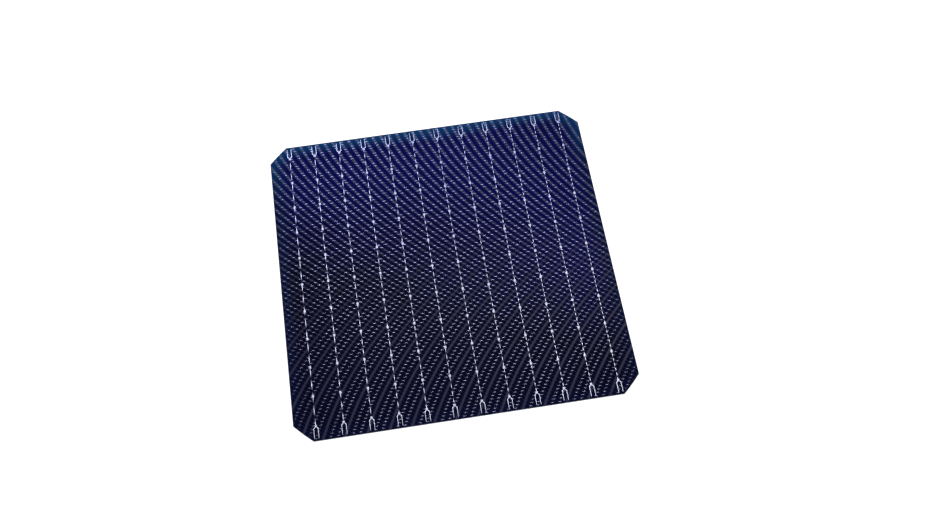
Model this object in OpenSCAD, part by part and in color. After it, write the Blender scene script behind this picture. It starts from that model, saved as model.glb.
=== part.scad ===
// Bifacial monocrystalline solar cell, lying on its rear face.
// Millimetres. The origin is at the middle of the face it rests on, +Z points out of the front
// face, the busbars run along Y and the fingers along X.

/* [Wafer] */
// Width of the wafer across its flat sides
wafer_w = 156.75; // [154:0.25:160]
// Diameter of the round ingot whose surface is left at the four corners
ingot_d = 210; // [206:0.5:216]
// Thickness of the silicon
wafer_t = 0.18; // [0.12:0.01:0.3]
// Thickness of the coating film on each face
film_t = 0.01; // [0.005:0.005:0.03]

/* [Busbar layout, alike on both faces] */
// Number of busbars on a face
busbar_n = 12; // [6:1:12]
// Distance from the wafer's side to the middle of the first busbar
busbar_inset = 9.9; // [9:0.1:14]
// Number of solder pads on a busbar
pad_n = 11; // [5:1:14]
// Distance from the wafer's end to the middle of the first solder pad
pad_inset = 6.9; // [5.5:0.1:10]
// Distance between the two prongs that each busbar forks into at its ends
fork_w = 2; // [1.6:0.1:3]

/* [Front print] */
// Number of fingers on the front face
front_finger_n = 103; // [80:1:120]
// Bare margin between the wafer's edge and the front print
front_margin = 1.11; // [0.8:0.01:2]
// Width of a front finger
front_finger_w = 0.07; // [0.03:0.01:0.12]
// Height of a front finger above the film
front_finger_h = 0.015; // [0.01:0.001:0.02]
// Width of a front busbar's line
front_bar_w = 0.15; // [0.1:0.05:0.6]
// Height of a front busbar above the film
front_bar_h = 0.025; // [0.022:0.001:0.04]
// Width of a front solder pad, across the busbar
front_pad_w = 1; // [0.8:0.1:1.6]
// Length of a front solder pad, along the busbar
front_pad_l = 1.2; // [0.8:0.1:2]

/* [Rear print] */
// Number of fingers on the rear face
rear_finger_n = 120; // [90:1:130]
// Bare margin between the wafer's edge and the rear print
rear_margin = 1.025; // [0.8:0.005:2]
// Width of a rear finger
rear_finger_w = 0.08; // [0.04:0.01:0.2]
// Height of a rear finger under the film
rear_finger_h = 0.02; // [0.01:0.001:0.025]
// Width of a rear busbar's line
rear_bar_w = 0.5; // [0.2:0.05:0.8]
// Height of a rear busbar under the film
rear_bar_h = 0.03; // [0.027:0.001:0.04]
// Width of a rear solder pad, across the busbar
rear_pad_w = 1.4; // [1:0.1:1.6]
// Length of a rear solder pad, along the busbar
rear_pad_l = 1.8; // [1:0.1:2.4]

/* [Hidden] */
// Number of sides that the round slice is drawn with: they stay within 0.001 mm of the circle,
// far less than the thickness of a film
slice_sides = 720;
// Names of the busbars on a face: front_busbar_01 is the one at the smallest X
function busbar_name(face, i) = str(face, "_busbar_", i < 10 ? "0" : "", i);

// Levels of the layers, from the resting face up
rear_film_z = rear_bar_h;
silicon_z = rear_film_z + film_t;
front_film_z = silicon_z + wafer_t;
front_print_z = front_film_z + film_t;

// Middle of busbar i, counted from 1
busbar_pitch = (wafer_w - 2 * busbar_inset) / (busbar_n - 1);
function busbar_x(i) = busbar_inset - wafer_w / 2 + (i - 1) * busbar_pitch;
// Distance along the busbar in which its line splits into the two prongs
fork_l = fork_w / 2;

// Middles of all the fingers of a face
function finger_ys(count, margin) =
    let (first = margin - wafer_w / 2, pitch = -2 * first / (count - 1))
    [for (j = [0 : count - 1]) first + j * pitch];
front_ys = finger_ys(front_finger_n, front_margin);
rear_ys = finger_ys(rear_finger_n, rear_margin);

// How far a printed line at distance d from the middle of the wafer may run to either side:
// to the margin along the flat side, or along the round corner
function reach(d, margin) =
    min(wafer_w / 2 - margin, sqrt((ingot_d / 2 - margin) ^ 2 - d ^ 2));

// Round slice of the ingot
module slice() {
    polygon([for (k = [1 : slice_sides])
        let (a = k * 360 / slice_sides) [cos(a), sin(a)] * ingot_d / 2]);
}

// Outline of the wafer: a square cut from a round slice, which leaves the corners round
module wafer_outline() {
    intersection() {
        square(wafer_w, center = true);
        slice();
    }
}

// One layer that covers the wafer's whole face
module sheet(z, t) {
    translate([0, 0, z]) linear_extrude(t) wafer_outline();
}

// All the fingers of a face, standing on z = 0
module fingers(ys, margin, w, h) {
    for (y = ys)
        translate([-reach(abs(y), margin), y - w / 2, 0])
            cube([2 * reach(abs(y), margin), w, h]);
}

// One end of a busbar seen from above: the line splits at the last pad into two prongs,
// which run on side by side, each to the edge of the print
module fork(line_w, split_y, left_y, right_y) {
    outer = (fork_w + line_w) / 2;
    inner = (fork_w - line_w) / 2;
    difference() {
        polygon([
            [-line_w / 2, split_y],
            [line_w / 2, split_y],
            [outer, split_y + fork_l],
            [outer, right_y],
            [-outer, left_y],
            [-outer, split_y + fork_l]
        ]);
        polygon([
            [0, split_y + line_w],
            [inner, split_y + line_w + fork_l],
            [inner, max(left_y, right_y) + line_w],
            [-inner, max(left_y, right_y) + line_w],
            [-inner, split_y + line_w + fork_l]
        ]);
    }
}

// The whole busbar whose middle is at x, seen from above. Its pads stand evenly between the two
// splits, which lie further in where a round corner leaves the prongs too little room.
module busbar_plan(x, margin, line_w, pad_w, pad_l) {
    left_y = reach(abs(x - fork_w / 2), margin);
    right_y = reach(abs(x + fork_w / 2), margin);
    split_y = min(wafer_w / 2 - pad_inset, min(left_y, right_y) - 2 * fork_l);
    pad_pitch = 2 * split_y / (pad_n - 1);
    square([line_w, 2 * split_y], center = true);
    for (end = [0, 1]) mirror([0, end]) fork(line_w, split_y, left_y, right_y);
    for (k = [0 : pad_n - 1])
        translate([0, k * pad_pitch - split_y]) square([pad_w, pad_l], center = true);
}

// A busbar's section along its length: flat on top, and notched over each finger it crosses
module busbar_profile(ys, finger_w, finger_h, bar_h) {
    polygon(concat(
        [[-wafer_w / 2, bar_h], [-wafer_w / 2, 0]],
        [for (y = ys) each [
            [y - finger_w / 2, 0],
            [y - finger_w / 2, finger_h],
            [y + finger_w / 2, finger_h],
            [y + finger_w / 2, 0]
        ]],
        [[wafer_w / 2, 0], [wafer_w / 2, bar_h]]
    ));
}

module front_busbar(i) {
    color("gainsboro")
    translate([busbar_x(i), 0, front_print_z])
    intersection() {
        linear_extrude(front_bar_h)
            busbar_plan(busbar_x(i), front_margin, front_bar_w, front_pad_w, front_pad_l);
        rotate([90, 0, 90]) linear_extrude(2 * fork_w, center = true)
            busbar_profile(front_ys, front_finger_w, front_finger_h, front_bar_h);
    }
}

module rear_busbar(i) {
    color("gainsboro")
    translate([busbar_x(i), 0, rear_film_z])
    mirror([0, 0, 1])
    intersection() {
        linear_extrude(rear_bar_h)
            busbar_plan(busbar_x(i), rear_margin, rear_bar_w, rear_pad_w, rear_pad_l);
        rotate([90, 0, 90]) linear_extrude(2 * fork_w, center = true)
            busbar_profile(rear_ys, rear_finger_w, rear_finger_h, rear_bar_h);
    }
}

module silicon_wafer() {
    color("slategray") sheet(silicon_z, wafer_t);
}

module front_coating() {
    color("midnightblue") sheet(front_film_z, film_t);
}

module rear_coating() {
    color("steelblue") sheet(rear_film_z, film_t);
}

module front_fingers() {
    color("lightsteelblue")
    translate([0, 0, front_print_z])
    fingers(front_ys, front_margin, front_finger_w, front_finger_h);
}

module rear_fingers() {
    color("lightgray")
    translate([0, 0, rear_film_z])
    mirror([0, 0, 1])
    fingers(rear_ys, rear_margin, rear_finger_w, rear_finger_h);
}

silicon_wafer();
front_coating();
rear_coating();
front_fingers();
rear_fingers();
for (i = [1 : busbar_n]) {
    front_busbar(i);
    rear_busbar(i);
}
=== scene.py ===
"""The looks of a bifacial solar cell: its films, its cut edge and its printed silver.

The cell lies on a pale floor with its dark blue front face up. Lengths are metres: X runs along
the fingers, Y along the busbars and Z out of the front face. The near side is the side at the
lowest Y, and the far side is the one at the highest Y.
"""
import math

import bmesh
import bpy
from bpy.props import EnumProperty, FloatProperty, FloatVectorProperty, IntProperty, PointerProperty
from bpy.types import NodeSocket, Operator, Panel, PropertyGroup
from mathutils import Matrix, Vector


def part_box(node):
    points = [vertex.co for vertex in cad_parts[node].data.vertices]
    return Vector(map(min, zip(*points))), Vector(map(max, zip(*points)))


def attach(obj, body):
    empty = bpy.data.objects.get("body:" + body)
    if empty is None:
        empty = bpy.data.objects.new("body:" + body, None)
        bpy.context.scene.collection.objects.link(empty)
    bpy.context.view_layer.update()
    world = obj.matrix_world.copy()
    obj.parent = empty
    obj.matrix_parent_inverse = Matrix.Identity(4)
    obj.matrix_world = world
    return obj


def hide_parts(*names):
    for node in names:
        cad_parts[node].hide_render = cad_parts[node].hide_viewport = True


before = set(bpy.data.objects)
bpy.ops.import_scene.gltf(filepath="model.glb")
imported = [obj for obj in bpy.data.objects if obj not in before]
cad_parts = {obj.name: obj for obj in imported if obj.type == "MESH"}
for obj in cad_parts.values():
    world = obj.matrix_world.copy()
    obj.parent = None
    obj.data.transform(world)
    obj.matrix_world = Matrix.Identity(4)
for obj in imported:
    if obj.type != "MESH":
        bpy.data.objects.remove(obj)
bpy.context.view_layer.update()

bl_info = {
    "name": "Bifacial solar cell",
    "version": (1, 0, 0),
    "blender": (4, 5, 0),
    "location": "View3D > Sidebar > Solar cell",
    "description": "Finishes the films and the print of a bifacial solar cell and lights it",
    "category": "Object",
}

MM = 0.001
BODY = "root"
FACES = (
    ("front", "Front", "The dark blue face that looks up"),
    ("rear", "Rear", "The light blue face that the cell rests on"),
)

# What the frame says of the wafer
_, WAFER_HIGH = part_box("silicon_wafer")
HALF_SIDE = WAFER_HIGH.x
SLICE_RADIUS = max(v.co.to_2d().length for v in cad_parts["silicon_wafer"].data.vertices)
BUSBARS = {
    face: sorted(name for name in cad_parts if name.startswith(face + "_busbar"))
    for face, _, _ in FACES
}

# How many fingers of the front lie in a metre of Y, told from their edges
FINGER_LEVELS = sorted({round(v.co.y, 7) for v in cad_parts["front_fingers"].data.vertices})
FINGERS_PER_METRE = (len(FINGER_LEVELS) / 2 - 1) / (FINGER_LEVELS[-1] - FINGER_LEVELS[1])

# The smallest distance between two points of the print is five times this
MERGE_DISTANCE = 0.002 * MM
# Triangles that meet at less than this are one flat face
FLAT_ANGLE = math.radians(0.5)
# Faces that meet at less than this are one round shoulder
SMOOTH_ANGLE = math.radians(40)
# How far a normal points away from the wafer, at least on a print's free side and at most on
# its walls
FREE_SIDE_NORMAL = 0.9
WALL_NORMAL = 0.1

# Where each shade of the films lies. A place on a face is a share of the way over it: 0 at the
# near side and 1 at the far side.
# The front's shades are partly the film's own blue and partly painted reflection: brighter to the
# far side, darkest a little in from the near side
FRONT_SHADES_WITH_REFLECTION = (
    ("front_near", 0.0),
    ("front_dark", 0.12),
    ("front_dark", 0.33),
    ("front_middle", 0.57),
    ("front_far", 0.86),
)
# The rim's change of colour at the edge is the film's own; its brightening to the far side is
# painted reflection
RIM_SHADES_WITH_REFLECTION = (("rim_near", 0.05), ("rim_sides", 0.80), ("rim_far", 0.985))
REAR_SHADES = (("rear_deep", 0.05), ("rear_pale", 0.85))
# The front's shades, with their painted reflection, slant one way up to this place and the other
# way beyond it
SLANT_PLACE = 0.80
SLANT = 3.4
# How much of the way over the face the clouds move the shades
FRONT_SWAY = 0.10
REAR_SWAY = 0.5
# The clouds make the front's rim narrower and wider than it is set
NARROW_RIM = 0.8
WIDE_RIM = 1.35
# Strength of the rear's rim
REAR_RIM = 0.6

# Roughness, from the least to the most
FRONT_ROUGHNESS = (0.38, 0.52)
REAR_ROUGHNESS = (0.34, 0.5)
EDGE_ROUGHNESS = (0.35, 0.55)
SILVER_ROUGHNESS = (0.17, 0.32)
FLOOR_ROUGHNESS = 0.7
# Depth of the fine relief of the films, the cut edge and the silver
FILM_RELIEF = 0.002 * MM
EDGE_RELIEF = 0.004 * MM
GRAIN_RELIEF = 0.002 * MM
# A noise lies mostly between these two values
NOISE_LOW = 0.3
NOISE_HIGH = 0.7
# Length of a saw mark, in distances between two marks
SAW_MARK_LENGTH = 100
# Length of a lump of silver, in grains
LUMP_LENGTH = 40

# How narrow the thick spots of the silver and the bands of the veil are: 1 is widest
FINGER_SHARPNESS = 4.5
BUSBAR_SHARPNESS = 1.5
FAR_BAND_SHARPNESS = 3.5
NEAR_BAND_SHARPNESS = 3.0
WEAK_ROW_SHARPNESS = 1.5
# One in this many rows of marks is weak
WEAK_ROW_SPACING = 3
# Places between which the weak rows change from their near strength to their far strength
WEAK_ROW_PLACES = (0.2, 0.8)
# Strength of the veil's near bands off the weak rows and on them
NEAR_BAND_STRENGTH = (0.3, 2.4)
# Places between which the veil turns from its near bands to its far bands
BAND_PLACES = (0.10, 0.65)
# Share of the far bands in the veil at the near side
LEAST_FAR_BANDS = 0.3

# Share of the silver that the thin spots lack
MARKS_SHARE = {"front": 1.0, "rear": 0.6}
# Tone of the silver's pads and forks, where 1 is thickest
PAD_TONE = {"front": 0.32, "rear": 0.9}
FORK_TONE = {"front": 0.78, "rear": 0.9}
# Tone of the thinnest lumps
LUMP_TONE = 0.8
# How metallic the silver is
FINGER_METAL = 0.88
BUSBAR_METAL = 0.4
# Places of the near and the far colour of thick silver. On the front the far colour is bluer, a
# painted blue reflection of the film.
NEAR_SILVER_PLACE = 0.25
FAR_SILVER_PLACE = 1.0
# Place below which painted shade makes the front's silver weaker to the near side
NEAR_SHADE_PLACE = 0.5
# How much weaker painted shade makes the front's silver to two of its corners, and the place where
# that turns
FINGER_CORNER_SHADE = 0.34
BUSBAR_CORNER_SHADE = 0.2
CORNER_SHADE_PLACE = 0.35
# Tone of the silver on the middle line, darkened there by painted shade, and from a share of the
# half side outwards
MIDDLE_SHADE_TONE = 0.68
SIDE_TONE = 0.84
SIDE_START = 0.8

# Solder pads from the middle of a busbar to where it forks
PADS_TO_FORK = 5
# The camera sees nothing that is nearer than this
CLIP_START = 10 * MM


class FilmSettings(PropertyGroup):
    """The films on the two faces, and the cut edge between them."""
    # The four front colours hold painted reflection as well as the film's own blue: brighter to the
    # far side, darkest a little in from the near side
    front_far: FloatVectorProperty(
        name="Front, far side", description="Colour of the front film at the highest Y",
        subtype="COLOR", size=3, min=0, max=1, default=(0.0003, 0.0008, 0.0280))
    front_middle: FloatVectorProperty(
        name="Front, middle", description="Colour of the front film in the middle",
        subtype="COLOR", size=3, min=0, max=1, default=(0.0002, 0.0003, 0.0136))
    front_dark: FloatVectorProperty(
        name="Front, darkest", description="Colour of the front film where it is darkest",
        subtype="COLOR", size=3, min=0, max=1, default=(0.0001, 0.0001, 0.0012))
    front_near: FloatVectorProperty(
        name="Front, near side", description="Colour of the front film at the lowest Y",
        subtype="COLOR", size=3, min=0, max=1, default=(0.0001, 0.0002, 0.0020))
    # The rim is the film's own colour change at the edge; it brightens to the far side by painted
    # reflection
    rim_far: FloatVectorProperty(
        name="Rim, far side", description="Colour of the front film's rim at the highest Y",
        subtype="COLOR", size=3, min=0, max=1, default=(0.0009, 0.0160, 0.0550))
    rim_sides: FloatVectorProperty(
        name="Rim, sides", description="Colour of the front film's rim along the two sides",
        subtype="COLOR", size=3, min=0, max=1, default=(0.0004, 0.0023, 0.0180))
    rim_near: FloatVectorProperty(
        name="Rim, near side", description="Colour of the front film's rim at the lowest Y",
        subtype="COLOR", size=3, min=0, max=1, default=(0.0003, 0.0008, 0.0070))
    rim_width: FloatProperty(
        name="Rim width", description="How far in the film's rim is seen",
        subtype="DISTANCE", unit="LENGTH", min=0, default=8 * MM)
    veil_far: FloatProperty(
        name="Paste veil, far side", description="Gloss that a thin veil of paste gives the film "
        "between the thick spots of the fingers, at the highest Y",
        subtype="FACTOR", min=0, max=1, default=0.155)
    veil_near: FloatProperty(
        name="Paste veil, near side", description="Gloss that a thin veil of paste gives the film "
        "between the thick spots of the fingers, at the lowest Y",
        subtype="FACTOR", min=0, max=1, default=0.055)
    veil_tint: FloatVectorProperty(
        name="Paste veil, tint", description="Darkest colour of the film under the veil of paste",
        subtype="COLOR", size=3, min=0, max=1, default=(0.0003, 0.0004, 0.0110))
    rear_pale: FloatVectorProperty(
        name="Rear, pale", description="Colour of the rear film where it is palest",
        subtype="COLOR", size=3, min=0, max=1, default=(0.30, 0.57, 0.76))
    rear_deep: FloatVectorProperty(
        name="Rear, deep", description="Colour of the rear film where it is deepest",
        subtype="COLOR", size=3, min=0, max=1, default=(0.15, 0.40, 0.62))
    cloud_size: FloatProperty(
        name="Cloud size", description="Size of the slow changes in the film's thickness",
        subtype="DISTANCE", unit="LENGTH", min=MM, default=45 * MM)
    facet_size: FloatProperty(
        name="Facet size", description="Size of the patches of etched pyramids",
        subtype="DISTANCE", unit="LENGTH", min=0.01 * MM, default=0.35 * MM)
    saw_spacing: FloatProperty(
        name="Saw mark spacing", description="Distance between the marks of the wire saw that "
        "show through the films",
        subtype="DISTANCE", unit="LENGTH", min=0.01 * MM, default=0.9 * MM)
    edge_dark: FloatVectorProperty(
        name="Cut edge, dark", description="Colour of the cut edge in the marks of the saw",
        subtype="COLOR", size=3, min=0, max=1, default=(0.10, 0.11, 0.14))
    edge_light: FloatVectorProperty(
        name="Cut edge, light", description="Colour of the cut edge between the marks of the saw",
        subtype="COLOR", size=3, min=0, max=1, default=(0.34, 0.36, 0.41))
    edge_spacing: FloatProperty(
        name="Cut edge, saw marks", description="Distance between the marks of the saw on the "
        "cut edge",
        subtype="DISTANCE", unit="LENGTH", min=0.001 * MM, default=0.02 * MM)


class PrintSettings(PropertyGroup):
    """The silver print on the two faces."""
    # The front's far colours are bluer than the near ones, and the busbars' also darker: painted
    # blue reflection of the film
    front_silver_far: FloatVectorProperty(
        name="Front fingers, far side", description="Colour of the front fingers where they are "
        "thick, at the highest Y",
        subtype="COLOR", size=3, min=0, max=1, default=(0.38, 0.48, 1.0))
    front_silver_near: FloatVectorProperty(
        name="Front fingers, near side", description="Colour of the front fingers where they are "
        "thick, at the lowest Y",
        subtype="COLOR", size=3, min=0, max=1, default=(0.69, 0.68, 0.96))
    front_bar_far: FloatVectorProperty(
        name="Front busbars, far side", description="Colour of the front busbars where they are "
        "thick, at the highest Y",
        subtype="COLOR", size=3, min=0, max=1, default=(0.47, 0.51, 0.80))
    front_bar_near: FloatVectorProperty(
        name="Front busbars, near side", description="Colour of the front busbars where they are "
        "thick, at the lowest Y",
        subtype="COLOR", size=3, min=0, max=1, default=(0.67, 0.68, 0.83))
    front_thin: FloatVectorProperty(
        name="Front silver, thin", description="Colour of the front print where it is thin",
        subtype="COLOR", size=3, min=0, max=1, default=(0.002, 0.002, 0.012))
    rear_silver: FloatVectorProperty(
        name="Rear silver", description="Colour of the rear print where it is thick",
        subtype="COLOR", size=3, min=0, max=1, default=(0.80, 0.84, 0.87))
    rear_thin: FloatVectorProperty(
        name="Rear silver, thin", description="Colour of the rear print where it is thin",
        subtype="COLOR", size=3, min=0, max=1, default=(0.55, 0.65, 0.74))
    # Painted shade: the front's print gets darker to the near side, keeping these shares of its
    # tone there
    finger_near_shade: FloatProperty(
        name="Front fingers, fade", description="Share of the front fingers' tone that is left "
        "at the near side",
        subtype="FACTOR", min=0, max=1, default=0.62)
    busbar_near_shade: FloatProperty(
        name="Front busbars, fade", description="Share of the front busbars' tone that is left "
        "at the near side",
        subtype="FACTOR", min=0, max=1, default=0.9)
    finger_shoulder: FloatProperty(
        name="Finger shoulder", description="Radius of the round shoulders of a finger",
        subtype="DISTANCE", unit="LENGTH", min=0, default=0.009 * MM)
    busbar_shoulder: FloatProperty(
        name="Busbar shoulder", description="Radius of the round shoulders of a busbar",
        subtype="DISTANCE", unit="LENGTH", min=0, default=0.007 * MM)
    shoulder_steps: IntProperty(
        name="Shoulder steps", description="Number of faces across a round shoulder",
        min=1, max=6, default=3)
    grain_size: FloatProperty(
        name="Grain size", description="Size of the grains of the fired silver",
        subtype="DISTANCE", unit="LENGTH", min=0.001 * MM, default=0.03 * MM)
    finger_marks: FloatVectorProperty(
        name="Screen marks, fingers", description="Marks that the printing screen leaves in a "
        "metre of X and of Y, and what each metre of X and of Y adds to those along Y",
        size=4, default=(274, 295, -360, -2830))
    busbar_marks: FloatVectorProperty(
        name="Screen marks, busbars", description="Marks that the printing screen leaves in a "
        "metre of X and of Y, and what each metre of X and of Y adds to those along Y",
        size=4, default=(274, 290, 1900, 0))
    weak_near: FloatProperty(
        name="Weak rows, near side", description="Share of its silver that every third slanting "
        "row of marks lacks at the lowest Y",
        subtype="FACTOR", min=0, max=1, default=1.0)
    weak_far: FloatProperty(
        name="Weak rows, far side", description="Share of its silver that every third slanting "
        "row of marks lacks at the highest Y",
        subtype="FACTOR", min=0, max=1, default=0.8)
    pad_pitch: FloatProperty(
        name="Pad pitch", description="Distance between the middles of two solder pads",
        subtype="DISTANCE", unit="LENGTH", min=MM, default=14.295 * MM)
    pad_length: FloatProperty(
        name="Pad length", description="Length of a solder pad along the busbar",
        subtype="DISTANCE", unit="LENGTH", min=0.1 * MM, default=1.2 * MM)


class StageSettings(PropertyGroup):
    """The floor, the light and the camera."""
    floor_size: FloatProperty(
        name="Floor size", description="Side of the floor",
        subtype="DISTANCE", unit="LENGTH", min=0.5, default=40)
    floor_colour: FloatVectorProperty(
        name="Floor colour", description="Colour of the floor",
        subtype="COLOR", size=3, min=0, max=1, default=(0.66, 0.66, 0.67))
    sky_strength: FloatProperty(
        name="Soft light", description="Strength of the even light from all sides",
        min=0, default=0.95)
    lamp_power: FloatProperty(
        name="Lamp power", description="Power of the soft lamp",
        subtype="POWER", unit="POWER", min=0, default=52)
    lamp_size: FloatProperty(
        name="Lamp size", description="Side of the soft lamp",
        subtype="DISTANCE", unit="LENGTH", min=0.01, default=1.35)
    lamp_place: FloatVectorProperty(
        name="Lamp place", description="Where the soft lamp hangs",
        subtype="TRANSLATION", unit="LENGTH", size=3, default=(0.09, 0.90, 1.68))
    aim: FloatVectorProperty(
        name="Aim", description="The point that the camera looks at",
        subtype="TRANSLATION", unit="LENGTH", size=3, default=(12.46 * MM, -2.93 * MM, 0))
    distance: FloatProperty(
        name="Distance", description="Distance from the camera to its aim",
        subtype="DISTANCE", unit="LENGTH", min=0.1, default=538.5 * MM)
    azimuth: FloatProperty(
        name="Azimuth", description="Turn of the camera round the cell, from the near side",
        subtype="ANGLE", unit="ROTATION", default=math.radians(-7.23))
    elevation: FloatProperty(
        name="Elevation", description="Height of the camera over the horizon",
        subtype="ANGLE", unit="ROTATION", default=math.radians(62.14))
    roll: FloatProperty(
        name="Roll", description="Tilt of the camera's picture, clockwise",
        subtype="ANGLE", unit="ROTATION", default=math.radians(1.9))
    focal_px: FloatProperty(
        name="Focal length", description="Focal length of the camera in pixels of the picture",
        min=100, default=1131.1)
    picture_px: IntProperty(
        name="Picture width", description="Width of the picture in pixels",
        min=100, default=944)


def feed(tree, socket, value):
    """Gives a socket its value, or links it where the value is another node's output."""
    if isinstance(value, NodeSocket):
        tree.links.new(value, socket)
    else:
        socket.default_value = value


def add_node(tree, kind, settings=None, **inputs):
    """A shader node. Its inputs are named in lower case."""
    node = tree.nodes.new("ShaderNode" + kind)
    for name, value in (settings or {}).items():
        setattr(node, name, value)
    sockets = {}
    for socket in node.inputs:
        if socket.enabled:
            sockets.setdefault(socket.name.lower().replace(" ", "_"), socket)
    for name, value in inputs.items():
        feed(tree, sockets[name], value)
    return node


def maths(tree, operation, first, second=0.0):
    """The result of a sum on one or two values or outputs."""
    node = tree.nodes.new("ShaderNodeMath")
    node.operation = operation
    for socket, value in zip(node.inputs, (first, second)):
        feed(tree, socket, value)
    return node.outputs[0]


def remap(tree, value, low, high, start=0.0, end=1.0, **settings):
    """A value that runs from low to high while the one that is given runs from start to end."""
    node = add_node(tree, "MapRange", settings, value=value, from_min=start, from_max=end,
                    to_min=low, to_max=high)
    return node.outputs["Result"]


def blend(tree, share, first, second):
    """The first value where share is 0 and the second where it is 1."""
    node = add_node(tree, "Mix", {"data_type": "FLOAT"}, factor=share, a=first, b=second)
    return node.outputs["Result"]


def blend_colour(tree, share, first, second, blend_type="MIX"):
    """The first colour where share is 0, and what blend_type makes of both where it is 1."""
    node = tree.nodes.new("ShaderNodeMix")
    node.data_type = "RGBA"
    node.blend_type = blend_type
    # The colours come after the node's numbers and vectors
    share_socket, first_socket, second_socket = node.inputs[0], node.inputs[6], node.inputs[7]
    tree.links.new(share, share_socket)
    for socket, colour in ((first_socket, first), (second_socket, second)):
        feed(tree, socket, colour if isinstance(colour, NodeSocket) else (*colour, 1))
    return node.outputs[2]


def ramp(tree, value, stops):
    """A colour that follows a value through stops, each a place and a colour."""
    node = add_node(tree, "ValToRGB", fac=value)
    elements = node.color_ramp.elements
    while len(elements) < len(stops):
        elements.new(0.5)
    for element, (place, _) in zip(elements, stops):
        element.position = place
    for element, (_, colour) in zip(elements, stops):
        element.color = (*colour, 1)
    return node.outputs["Color"]


def shaded(tree, place, films, shades):
    """The film's colour at a place, from its shades."""
    return ramp(tree, place, [(where, getattr(films, shade)) for shade, where in shades])


def noise(tree, vector, scale, detail=2.0, roughness=0.5):
    """A noise from 0 to 1, with scale patches in a metre."""
    node = add_node(tree, "TexNoise", vector=vector, scale=scale, detail=detail,
                    roughness=roughness)
    return node.outputs["Fac"]


def new_group(name, sizes, masks):
    """An empty node group for a point: sizes are its other inputs and masks its outputs."""
    tree = bpy.data.node_groups.new(name, "ShaderNodeTree")
    tree.interface.new_socket("Vector", in_out="INPUT", socket_type="NodeSocketVector")
    for socket, value in sizes.items():
        size = tree.interface.new_socket(socket, in_out="INPUT", socket_type="NodeSocketFloat")
        size.default_value = value
    for socket in masks:
        tree.interface.new_socket(socket, in_out="OUTPUT", socket_type="NodeSocketFloat")
    return tree, tree.nodes.new("NodeGroupInput").outputs, tree.nodes.new("NodeGroupOutput").inputs


def film_clouding():
    """Slow changes in a film's thickness."""
    tree, given, made = new_group("film clouding", {"Cloud Size": 45 * MM}, ["Mask"])
    scale = maths(tree, "DIVIDE", 1, given["Cloud Size"])
    clouds = noise(tree, given["Vector"], scale)
    tree.links.new(remap(tree, clouds, 0.0, 1.0, NOISE_LOW, NOISE_HIGH), made["Mask"])
    return tree


def rim_band():
    """1 at the outline of the wafer, fading to 0 at a width further in."""
    tree, given, made = new_group(
        "rim band", {"Half Side": HALF_SIDE, "Slice Radius": SLICE_RADIUS, "Width": 8 * MM},
        ["Mask"])
    place = add_node(tree, "SeparateXYZ", vector=given["Vector"]).outputs
    wide = maths(tree, "ABSOLUTE", place["X"])
    deep = maths(tree, "ABSOLUTE", place["Y"])
    to_side = maths(tree, "SUBTRACT", given["Half Side"], maths(tree, "MAXIMUM", wide, deep))
    square = maths(tree, "ADD", maths(tree, "MULTIPLY", wide, wide),
                   maths(tree, "MULTIPLY", deep, deep))
    to_corner = maths(tree, "SUBTRACT", given["Slice Radius"], maths(tree, "SQRT", square))
    inward = maths(tree, "DIVIDE", maths(tree, "MINIMUM", to_side, to_corner), given["Width"])
    band = remap(tree, inward, 1.0, 0.0, interpolation_type="SMOOTHSTEP")
    tree.links.new(band, made["Mask"])
    return tree


def saw_marks():
    """Fine parallel marks that the wire saw leaves along X, with their height."""
    tree, given, made = new_group("saw marks", {"Spacing": MM}, ["Mask"])
    stretched = add_node(tree, "Mapping", vector=given["Vector"],
                         scale=(1 / SAW_MARK_LENGTH, 1, 1))
    scale = maths(tree, "DIVIDE", 1, given["Spacing"])
    marks = noise(tree, stretched.outputs["Vector"], scale, detail=3, roughness=0.7)
    tree.links.new(marks, made["Mask"])
    return tree


def etched_facets():
    """Patches of etched pyramids that catch the light more or less."""
    tree, given, made = new_group("etched facets", {"Facet Size": 0.35 * MM}, ["Mask"])
    scale = maths(tree, "DIVIDE", 1, given["Facet Size"])
    node = add_node(tree, "TexVoronoi", vector=given["Vector"], scale=scale)
    tint = add_node(tree, "SeparateColor", color=node.outputs["Color"])
    tree.links.new(tint.outputs["Red"], made["Mask"])
    return tree


def silver_grain():
    """Fine grains and longer lumps of fired silver."""
    tree, given, made = new_group("silver grain", {"Grain Size": 0.03 * MM}, ["Grains", "Lumps"])
    fine = maths(tree, "DIVIDE", 1, given["Grain Size"])
    tree.links.new(noise(tree, given["Vector"], fine, roughness=0.6), made["Grains"])
    coarse = maths(tree, "DIVIDE", 1 / LUMP_LENGTH, given["Grain Size"])
    lumps = noise(tree, given["Vector"], coarse, detail=3)
    tree.links.new(remap(tree, lumps, 0.0, 1.0, NOISE_LOW, NOISE_HIGH), made["Lumps"])
    return tree


def screen_marks():
    """The slanting rhythm of thick and thin spots that the wires of a printing screen leave."""
    tree, given, made = new_group(
        "screen marks",
        {"Along X": 274, "Along Y": 295, "Added by X": 0, "Added by Y": 0, "Sharpness": 1.5},
        ["Mask"])
    place = add_node(tree, "SeparateXYZ", vector=given["Vector"]).outputs
    from_x = maths(tree, "MULTIPLY", place["X"], given["Added by X"])
    from_y = maths(tree, "MULTIPLY", place["Y"], given["Added by Y"])
    # What Y adds grows from nothing on the way, so that half of it counts
    added = maths(tree, "ADD", from_x, maths(tree, "MULTIPLY", from_y, 0.5))
    along_y = maths(tree, "MULTIPLY", place["Y"], maths(tree, "ADD", given["Along Y"], added))
    along_x = maths(tree, "MULTIPLY", place["X"], given["Along X"])
    turns = maths(tree, "MULTIPLY", maths(tree, "ADD", along_x, along_y), math.tau)
    wave = maths(tree, "ADD", maths(tree, "COSINE", turns), 1)
    spots = maths(tree, "POWER", maths(tree, "MULTIPLY", wave, 0.5), given["Sharpness"])
    tree.links.new(spots, made["Mask"])
    return tree


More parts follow.
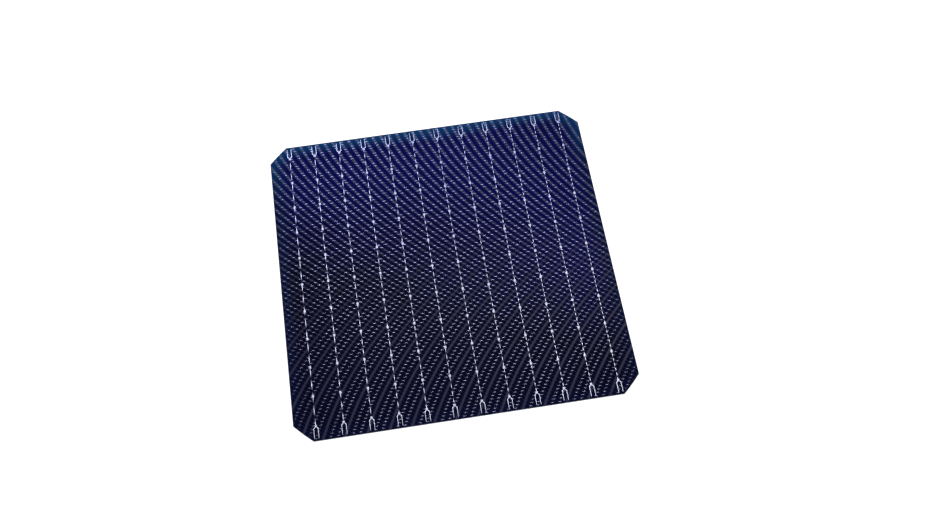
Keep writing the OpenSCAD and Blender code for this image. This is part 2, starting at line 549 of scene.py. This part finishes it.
def pads_and_forks():
    """1 on the pads and the forked ends of the busbars, and 0 on the line between them."""
    tree, given, made = new_group(
        "pads and forks", {"Pitch": 14.3 * MM, "Length": 1.2 * MM, "Fork Start": 71.5 * MM},
        ["Pads", "Forks"])
    along = add_node(tree, "SeparateXYZ", vector=given["Vector"]).outputs["Y"]
    pads = maths(tree, "DIVIDE", along, given["Pitch"])
    off = maths(tree, "ABSOLUTE", maths(tree, "SUBTRACT", pads, maths(tree, "ROUND", pads)))
    off = maths(tree, "MULTIPLY", off, maths(tree, "MULTIPLY", given["Pitch"], 2))
    tree.links.new(maths(tree, "LESS_THAN", off, given["Length"]), made["Pads"])
    out = maths(tree, "ABSOLUTE", along)
    tree.links.new(maths(tree, "GREATER_THAN", out, given["Fork Start"]), made["Forks"])
    return tree


GROUPS = {
    "film clouding": film_clouding,
    "rim band": rim_band,
    "saw marks": saw_marks,
    "etched facets": etched_facets,
    "silver grain": silver_grain,
    "screen marks": screen_marks,
    "pads and forks": pads_and_forks,
}


def effect(tree, name, vector, **values):
    """The outputs of one of the shared effects, which is built when it is first needed."""
    node = tree.nodes.new("ShaderNodeGroup")
    node.node_tree = bpy.data.node_groups.get(name) or GROUPS[name]()
    tree.links.new(vector, node.inputs["Vector"])
    for socket, value in values.items():
        feed(tree, node.inputs[socket.replace("_", " ")], value)
    return node.outputs


def new_material(name, **shader_values):
    """A material, its tree, its shader and the point on the object."""
    material = bpy.data.materials.new(name)
    material.use_nodes = True
    tree = material.node_tree
    shader = tree.nodes["Principled BSDF"]
    for socket, value in shader_values.items():
        shader.inputs[socket.replace("_", " ")].default_value = value
    point = tree.nodes.new("ShaderNodeTexCoord").outputs["Object"]
    return material, tree, shader.inputs, point


def set_bump(tree, shader, height, depth):
    """Raises the surface by a height from 0 to 1 times a depth in metres."""
    node = add_node(tree, "Bump", height=height, distance=depth, strength=1.0)
    tree.links.new(node.outputs["Normal"], shader["Normal"])


def farness(tree, point):
    """0 at the near side of the wafer and 1 at the far side."""
    along = add_node(tree, "SeparateXYZ", vector=point).outputs["Y"]
    return remap(tree, along, 0.0, 1.0, -HALF_SIDE, HALF_SIDE, clamp=False)


def slanted(tree, point, place):
    """A place that is farther at +X than at -X up to SLANT_PLACE, and nearer beyond it."""
    across = add_node(tree, "SeparateXYZ", vector=point).outputs["X"]
    lever = maths(tree, "MULTIPLY", maths(tree, "SUBTRACT", SLANT_PLACE, place), place)
    turn = maths(tree, "MULTIPLY", across, SLANT / (2 * HALF_SIDE))
    return maths(tree, "ADD", place, maths(tree, "MULTIPLY", lever, turn))


def swayed(tree, place, clouds, sway):
    """A place that the clouds move to and fro by half of sway."""
    return maths(tree, "ADD", place, remap(tree, clouds, -sway / 2, sway / 2))


def screen_spots(tree, point, marks, sharpness):
    """1 where the screen's marks are thick and 0 where they are thin."""
    along_x, along_y, added_by_x, added_by_y = marks
    spots = effect(tree, "screen marks", point, Along_X=along_x, Along_Y=along_y,
                   Added_by_X=added_by_x, Added_by_Y=added_by_y, Sharpness=sharpness)
    return spots["Mask"]


def other_slant(marks):
    """The same marks on the fingers, counted so that their rows slant the other way."""
    along_x, along_y, added_by_x, added_by_y = marks
    return along_x, along_y - FINGERS_PER_METRE, added_by_x, added_by_y


def weak_rows(tree, point, marks):
    """1 on the weak ones of the rows of marks that slant the other way."""
    counts = [count / WEAK_ROW_SPACING for count in other_slant(marks)]
    return screen_spots(tree, point, counts, WEAK_ROW_SHARPNESS)


def veil_spots(tree, point, far, marks):
    """Bands that join the thick spots of neighbouring fingers to their nearest ones.

    They slant one way on the far half of the wafer and the other way on its near half, where the
    weak rows have the strongest ones.
    """
    far_bands = screen_spots(tree, point, marks, FAR_BAND_SHARPNESS)
    near_bands = screen_spots(tree, point, other_slant(marks), NEAR_BAND_SHARPNESS)
    strength = remap(tree, weak_rows(tree, point, marks), *NEAR_BAND_STRENGTH)
    near_bands = maths(tree, "MULTIPLY", near_bands, strength)
    share = remap(tree, far, LEAST_FAR_BANDS, 1.0, *BAND_PLACES, interpolation_type="SMOOTHSTEP")
    return blend(tree, share, near_bands, far_bands)


def etch_film(tree, shader, point, films, roughness):
    """Gives a film the facets and the saw marks of the silicon under it."""
    facets = effect(tree, "etched facets", point, Facet_Size=films.facet_size)["Mask"]
    tree.links.new(remap(tree, facets, *roughness), shader["Roughness"])
    marks = effect(tree, "saw marks", point, Spacing=films.saw_spacing)["Mask"]
    set_bump(tree, shader, marks, FILM_RELIEF)


def front_film_material(films, prints):
    """The dark blue film with painted reflection, its rim and the veil of paste between the
    fingers.
    """
    material, tree, shader, point = new_material(
        "dark blue film", Specular_IOR_Level=0.015, Specular_Tint=(0.10, 0.14, 1.0, 1),
        Coat_Roughness=0.3)
    clouds = effect(tree, "film clouding", point, Cloud_Size=films.cloud_size)["Mask"]
    far = farness(tree, point)
    place = swayed(tree, slanted(tree, point, far), clouds, FRONT_SWAY)
    # The shades are painted reflection as well as the film's own blue, brighter to the far side
    field = shaded(tree, place, films, FRONT_SHADES_WITH_REFLECTION)
    # The rim is the film's own colour at the edge, brightened to the far side by painted reflection
    rim_colour_with_reflection = shaded(tree, far, films, RIM_SHADES_WITH_REFLECTION)
    width = remap(tree, clouds, NARROW_RIM * films.rim_width, WIDE_RIM * films.rim_width)
    rim = effect(tree, "rim band", point, Width=width)["Mask"]
    colour = blend_colour(tree, rim, field, rim_colour_with_reflection)
    spots = veil_spots(tree, point, far, prints.finger_marks)
    colour = blend_colour(tree, spots, colour, films.veil_tint, blend_type="LIGHTEN")
    tree.links.new(colour, shader["Base Color"])
    veil = maths(tree, "MULTIPLY", spots, remap(tree, place, films.veil_near, films.veil_far))
    tree.links.new(veil, shader["Coat Weight"])
    etch_film(tree, shader, point, films, FRONT_ROUGHNESS)
    return material


def rear_film_material(films):
    """The light blue film, which is deeper at its rim."""
    material, tree, shader, point = new_material("light blue film", Specular_IOR_Level=0.4)
    clouds = effect(tree, "film clouding", point, Cloud_Size=films.cloud_size)["Mask"]
    place = swayed(tree, farness(tree, point), clouds, REAR_SWAY)
    field = shaded(tree, place, films, REAR_SHADES)
    rim = effect(tree, "rim band", point, Width=films.rim_width)["Mask"]
    faded = maths(tree, "MULTIPLY", rim, REAR_RIM)
    tree.links.new(blend_colour(tree, faded, field, films.rear_deep), shader["Base Color"])
    etch_film(tree, shader, point, films, REAR_ROUGHNESS)
    return material


def silicon_material(films):
    """The grey silicon of the cut edge, with the marks of the saw."""
    material, tree, shader, point = new_material("sawn silicon", Metallic=0.35)
    marks = effect(tree, "saw marks", point, Spacing=films.edge_spacing)["Mask"]
    colour = blend_colour(tree, marks, films.edge_dark, films.edge_light)
    tree.links.new(colour, shader["Base Color"])
    tree.links.new(remap(tree, marks, *EDGE_ROUGHNESS), shader["Roughness"])
    set_bump(tree, shader, marks, EDGE_RELIEF)
    return material


def new_silver(name, prints, metal):
    """A material for fired silver with its grain, and the tone that the lumps give it."""
    material, tree, shader, point = new_material(name, Metallic=metal, Specular_IOR_Level=0.0)
    grain = effect(tree, "silver grain", point, Grain_Size=prints.grain_size)
    tree.links.new(remap(tree, grain["Grains"], *SILVER_ROUGHNESS), shader["Roughness"])
    set_bump(tree, shader, grain["Grains"], GRAIN_RELIEF)
    return material, tree, shader, point, remap(tree, grain["Lumps"], LUMP_TONE, 1.0)


def marked(tree, point, tone, marks, sharpness, share):
    """A tone whose thin spots lack a share of it."""
    spots = screen_spots(tree, point, marks, sharpness)
    return maths(tree, "MULTIPLY", remap(tree, spots, 1 - share, 1.0), tone)


def with_painted_shade(tree, point, tone, near_shade_left=1.0, corner_shade=0.0):
    """A tone darkened by painted shade to the middle line, and to the near side by the given share.

    The corner share adds painted shade to the far right and near left corners as well.
    """
    far = farness(tree, point)
    across = add_node(tree, "SeparateXYZ", vector=point).outputs["X"]
    # Painted shade: darker to the near side, to two corners and to the middle line
    near_shade = remap(tree, far, near_shade_left, 1.0, end=NEAR_SHADE_PLACE)
    lever = maths(tree, "SUBTRACT", CORNER_SHADE_PLACE, far)
    turn = maths(tree, "MULTIPLY", across, 2 * corner_shade / HALF_SIDE)
    painted_shade = maths(tree, "ADD", 1, maths(tree, "MULTIPLY", turn, lever))
    middle_shade = remap(tree, maths(tree, "ABSOLUTE", across), MIDDLE_SHADE_TONE, SIDE_TONE,
                  end=SIDE_START * HALF_SIDE)
    painted_shade = maths(tree, "MULTIPLY", painted_shade, middle_shade)
    return maths(tree, "MULTIPLY", tone, maths(tree, "MULTIPLY", near_shade, painted_shade))


def colour_silver(tree, shader, point, tone, thin, near, far):
    """Colours the silver by its tone, from thin at 0 to the near or the far colour at 1."""
    # On the front the far colour is bluer: painted blue reflection of the film
    stops = (NEAR_SILVER_PLACE, near), (FAR_SILVER_PLACE, far)
    thick = ramp(tree, farness(tree, point), stops)
    tree.links.new(blend_colour(tree, tone, thin, thick), shader["Base Color"])


def finger_silver(face, prints):
    """The silver of the fingers. On the front, some rows of their marks are weak."""
    material, tree, shader, point, tone = new_silver(face + " finger silver", prints, FINGER_METAL)
    marks = prints.finger_marks
    tone = marked(tree, point, tone, marks, FINGER_SHARPNESS, MARKS_SHARE[face])
    if face == "rear":
        # Painted shade: darker to the middle line
        tone = with_painted_shade(tree, point, tone)
        colour_silver(tree, shader, point, tone, prints.rear_thin, prints.rear_silver,
                      prints.rear_silver)
        return material
    lack = remap(tree, farness(tree, point), prints.weak_near, prints.weak_far, *WEAK_ROW_PLACES)
    weak = maths(tree, "MULTIPLY", weak_rows(tree, point, marks), lack)
    tone = maths(tree, "MULTIPLY", tone, maths(tree, "SUBTRACT", 1, weak))
    # Painted shade: darker to the near side, to two corners and to the middle line
    tone = with_painted_shade(tree, point, tone, prints.finger_near_shade, FINGER_CORNER_SHADE)
    colour_silver(tree, shader, point, tone, prints.front_thin, prints.front_silver_near,
                  prints.front_silver_far)
    return material


def busbar_silver(face, prints):
    """The silver of the busbars. Their line has marks, and their pads and forks are even."""
    material, tree, shader, point, tone = new_silver(face + " busbar silver", prints, BUSBAR_METAL)
    tone = marked(tree, point, tone, prints.busbar_marks, BUSBAR_SHARPNESS, MARKS_SHARE[face])
    whole = effect(tree, "pads and forks", point, Pitch=prints.pad_pitch,
                   Length=prints.pad_length, Fork_Start=PADS_TO_FORK * prints.pad_pitch)
    tone = blend(tree, whole["Forks"], tone, FORK_TONE[face])
    tone = blend(tree, whole["Pads"], tone, PAD_TONE[face])
    if face == "rear":
        # Painted shade: darker to the middle line
        tone = with_painted_shade(tree, point, tone)
        colour_silver(tree, shader, point, tone, prints.rear_thin, prints.rear_silver,
                      prints.rear_silver)
        return material
    # Painted shade: darker to the near side, to two corners and to the middle line
    tone = with_painted_shade(tree, point, tone, prints.busbar_near_shade, BUSBAR_CORNER_SHADE)
    colour_silver(tree, shader, point, tone, prints.front_thin, prints.front_bar_near,
                  prints.front_bar_far)
    return material


def floor_material(stage):
    """The plain matt floor."""
    material, _, _, _ = new_material(
        "matt floor", Base_Color=(*stage.floor_colour, 1), Roughness=FLOOR_ROUGHNESS,
        Specular_IOR_Level=0.2)
    return material


def dress(piece, material):
    """Gives a piece or a CAD node its only material."""
    piece.data.materials.clear()
    piece.data.materials.append(material)


def deselect_all():
    """Leaves edit mode with nothing selected."""
    if bpy.context.mode != "OBJECT":
        bpy.ops.object.mode_set(mode="OBJECT")
    bpy.ops.object.select_all(action="DESELECT")


def copy_of_node(node_name, piece_name):
    """A new piece that starts as a CAD node's own form, with its loose triangles joined up."""
    deselect_all()
    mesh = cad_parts[node_name].data.copy()
    mesh.name = piece_name
    piece = bpy.data.objects.new(piece_name, mesh)
    bpy.context.scene.collection.objects.link(piece)
    bpy.context.view_layer.objects.active = piece
    piece.select_set(True)
    bpy.ops.object.mode_set(mode="EDIT")
    bpy.ops.mesh.select_all(action="SELECT")
    bpy.ops.mesh.remove_doubles(threshold=MERGE_DISTANCE)
    bpy.ops.mesh.dissolve_limited(angle_limit=FLAT_ANGLE)
    bpy.ops.mesh.select_all(action="DESELECT")
    return piece


def select_printed_rim(piece, outward):
    """Selects the edges round the free side of a print, where outward is +1 up or -1 down."""
    mesh = bmesh.from_edit_mesh(piece.data)
    highest = max(vert.co.z * outward for vert in mesh.verts)
    for edge in mesh.edges:
        tilts = [face.normal.z * outward for face in edge.link_faces]
        level = min(vert.co.z * outward for vert in edge.verts)
        edge.select = (len(tilts) == 2 and max(tilts) > FREE_SIDE_NORMAL
                       and min(tilts) < WALL_NORMAL and level >= highest - MERGE_DISTANCE)
    bmesh.update_edit_mesh(piece.data)


def printed_piece(node_name, piece_name, shoulder, steps, material):
    """A print with round shoulders, in place of a CAD node with square ones."""
    piece = copy_of_node(node_name, piece_name)
    outward = 1 if node_name.startswith("front") else -1
    bpy.ops.mesh.select_mode(type="EDGE")
    select_printed_rim(piece, outward)
    bpy.ops.mesh.bevel(offset=shoulder, offset_type="OFFSET", segments=steps, profile=0.5,
                       affect="EDGES", clamp_overlap=True)
    bpy.ops.object.mode_set(mode="OBJECT")
    bpy.ops.object.shade_smooth_by_angle(angle=SMOOTH_ANGLE)
    dress(piece, material)
    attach(piece, BODY)
    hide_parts(node_name)


class CELL_OT_silicon(Operator):
    """Finishes the sawn silicon that shows at the cell's edge"""
    bl_idname = "cell.silicon"
    bl_label = "Silicon edge"
    bl_options = {"REGISTER", "UNDO"}

    def execute(self, context):
        dress(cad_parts["silicon_wafer"], silicon_material(context.scene.cell_films))
        return {"FINISHED"}


class CELL_OT_films(Operator):
    """Finishes the dark blue film of the front and the light blue film of the rear"""
    bl_idname = "cell.films"
    bl_label = "Films"
    bl_options = {"REGISTER", "UNDO"}

    def execute(self, context):
        films, prints = context.scene.cell_films, context.scene.cell_prints
        dress(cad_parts["front_coating"], front_film_material(films, prints))
        dress(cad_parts["rear_coating"], rear_film_material(films))
        return {"FINISHED"}


class CELL_OT_fingers(Operator):
    """Models the fine printed lines of a face, with round shoulders"""
    bl_idname = "cell.fingers"
    bl_label = "Fingers"
    bl_options = {"REGISTER", "UNDO"}

    face: EnumProperty(name="Face", description="The face that is printed", items=FACES)

    def execute(self, context):
        prints = context.scene.cell_prints
        node_name = self.face + "_fingers"
        printed_piece(node_name, "printed_" + node_name, prints.finger_shoulder,
                      prints.shoulder_steps,
                      finger_silver(self.face, prints))
        return {"FINISHED"}


class CELL_OT_busbars(Operator):
    """Models the busbars of a face, with their pads and forks, each as a piece of its own"""
    bl_idname = "cell.busbars"
    bl_label = "Busbars"
    bl_options = {"REGISTER", "UNDO"}

    face: EnumProperty(name="Face", description="The face that is printed", items=FACES)

    def execute(self, context):
        prints = context.scene.cell_prints
        silver = busbar_silver(self.face, prints)
        for node_name in BUSBARS[self.face]:
            printed_piece(node_name, "printed_" + node_name, prints.busbar_shoulder,
                          prints.shoulder_steps, silver)
        return {"FINISHED"}


class CELL_OT_stage(Operator):
    """Lays the floor, hangs the light and sets up the camera"""
    bl_idname = "cell.stage"
    bl_label = "Stage"
    bl_options = {"REGISTER", "UNDO"}

    def execute(self, context):
        stage = context.scene.cell_stage
        deselect_all()
        bpy.ops.mesh.primitive_plane_add(size=stage.floor_size)
        floor = context.object
        floor.name = "floor"
        dress(floor, floor_material(stage))

        world = bpy.data.worlds.new("soft light")
        context.scene.world = world
        world.use_nodes = True
        sky = world.node_tree.nodes["Background"].inputs
        sky["Color"].default_value = (1, 1, 1, 1)
        sky["Strength"].default_value = stage.sky_strength

        place = Vector(stage.lamp_place)
        bpy.ops.object.light_add(type="AREA", location=place)
        lamp = context.object
        lamp.name = "soft lamp"
        lamp.data.size = stage.lamp_size
        lamp.data.energy = stage.lamp_power
        lamp.rotation_euler = place.to_track_quat("Z", "Y").to_euler()

        context.scene.view_settings.view_transform = "Standard"
        self.add_camera(context, stage)
        return {"FINISHED"}

    def add_camera(self, context, stage):
        level = math.cos(stage.elevation)
        back = Vector((
            math.sin(stage.azimuth) * level,
            -math.cos(stage.azimuth) * level,
            math.sin(stage.elevation),
        ))
        bpy.ops.object.camera_add()
        camera = context.object
        camera.name = "camera"
        facing = back.to_track_quat("Z", "Y").to_matrix() @ Matrix.Rotation(-stage.roll, 3, "Z")
        place = Vector(stage.aim) + back * stage.distance
        camera.matrix_world = Matrix.Translation(place) @ facing.to_4x4()
        camera.data.lens = stage.focal_px / stage.picture_px * camera.data.sensor_width
        camera.data.clip_start = CLIP_START
        context.scene.camera = camera


class CELL_PT_solar_cell(Panel):
    """The steps that finish the cell, with their sizes and colours"""
    bl_label = "Solar cell"
    bl_space_type = "VIEW_3D"
    bl_region_type = "UI"
    bl_category = "Solar cell"

    def draw(self, context):
        layout = self.layout
        for heading, settings in (
            ("Films", context.scene.cell_films),
            ("Print", context.scene.cell_prints),
            ("Stage", context.scene.cell_stage),
        ):
            box = layout.box()
            box.label(text=heading)
            for name in settings.__annotations__:
                box.prop(settings, name)
        layout.operator(CELL_OT_silicon.bl_idname)
        layout.operator(CELL_OT_films.bl_idname)
        for face, label, _ in FACES:
            layout.operator(CELL_OT_fingers.bl_idname, text=label + " fingers").face = face
            layout.operator(CELL_OT_busbars.bl_idname, text=label + " busbars").face = face
        layout.operator(CELL_OT_stage.bl_idname)


CLASSES = (
    FilmSettings,
    PrintSettings,
    StageSettings,
    CELL_OT_silicon,
    CELL_OT_films,
    CELL_OT_fingers,
    CELL_OT_busbars,
    CELL_OT_stage,
    CELL_PT_solar_cell,
)


def register():
    for item in CLASSES:
        bpy.utils.register_class(item)
    bpy.types.Scene.cell_films = PointerProperty(type=FilmSettings)
    bpy.types.Scene.cell_prints = PointerProperty(type=PrintSettings)
    bpy.types.Scene.cell_stage = PointerProperty(type=StageSettings)


def unregister():
    del bpy.types.Scene.cell_stage
    del bpy.types.Scene.cell_prints
    del bpy.types.Scene.cell_films
    for item in reversed(CLASSES):
        bpy.utils.unregister_class(item)


def main():
    register()
    bpy.ops.cell.silicon()
    bpy.ops.cell.films()
    for face, _, _ in FACES:
        bpy.ops.cell.fingers(face=face)
        bpy.ops.cell.busbars(face=face)
    bpy.ops.cell.stage()


if __name__ == "__main__":
    main()
